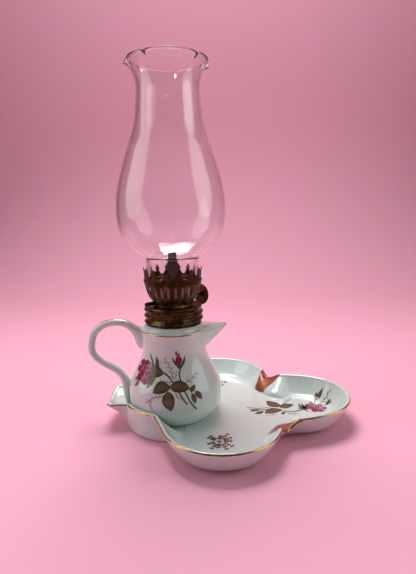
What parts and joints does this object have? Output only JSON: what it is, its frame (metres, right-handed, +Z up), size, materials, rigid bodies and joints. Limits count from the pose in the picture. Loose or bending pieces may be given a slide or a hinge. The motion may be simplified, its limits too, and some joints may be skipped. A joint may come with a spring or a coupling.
{
  "type": "oil lamp",
  "caption": "Miniature porcelain jug oil lamp on a lobed tray, with loop handle, threaded collar, slotted wick burner with side knob, pronged crown and pinched-rim glass chimney.",
  "frame": {"origin": "on the resting plane, under the centre of the outline seen from above; the lamp's upright axis is 27.4 mm from it towards -X", "axes": "+Z up, +X from the jug's handle towards its spout and the tray's end lobe, +Y towards a side lobe"},
  "size_m": [0.1608, 0.1394, 0.211],
  "materials": {
    "porcelain": "glossy glaze with gold rim line and transfer flowers",
    "cement": "matt plaster",
    "aged_brass": "aged, satin",
    "dark_brass": "dark patina",
    "dull_zinc": "dull grey plating",
    "blackened_steel": "blackened",
    "wick_cotton": "woven cotton, charred at the top",
    "clear_glass": "clear, fire-polished"
  },
  "bodies": {
    "lamp": {"tray": "porcelain", "pitcher": "porcelain", "pitcher_handle": "porcelain", "collar_cement": "cement", "collar": "aged_brass"},
    "screw_shell": {"burner_shell": "aged_brass"},
    "burner": {"base_plate": "aged_brass", "neck_ring": "aged_brass", "basket": "dark_brass", "air_distributor": "dull_zinc", "crown": "dark_brass", "wick_tube": "dark_brass", "wheel_housing": "aged_brass", "shaft_sleeves": "blackened_steel"},
    "raiser": {"raiser_shaft": "blackened_steel", "spur_wheels": "aged_brass", "knob": "dark_brass"},
    "wick": {"wick": "wick_cotton"},
    "chimney": {"chimney": "clear_glass"}
  },
  "joints": [
    {"name": "burner_lift", "type": "slide", "parent": "lamp", "child": "screw_shell", "axis": [0, 0, 1], "range_m": [0, 0.0093]},
    {"name": "burner_turn", "type": "hinge", "parent": "screw_shell", "child": "burner", "pos_m": [-0.0274, 0, 0.08], "axis": [0, 0, 1], "range_deg": [0, 900]},
    {"name": "chimney_lift", "type": "slide", "parent": "burner", "child": "chimney", "axis": [0, 0, 1], "range_m": [0, 0.03]},
    {"name": "knob_turn", "type": "hinge", "parent": "burner", "child": "raiser", "pos_m": [-0.02966, 0.00226, 0.076], "axis": [0.7071, 0.7071, 0], "range_deg": [-190, 150]},
    {"name": "wick_slide", "type": "slide", "parent": "burner", "child": "wick", "axis": [0, 0, 1], "range_m": [-0.0056, 0.0071]}
  ],
  "couplings": [
    {"joint": "burner_lift", "follows": "burner_turn", "m_per_rad": 0.00058887},
    {"joint": "wick_slide", "follows": "knob_turn", "m_per_rad": -0.0021}
  ]
}
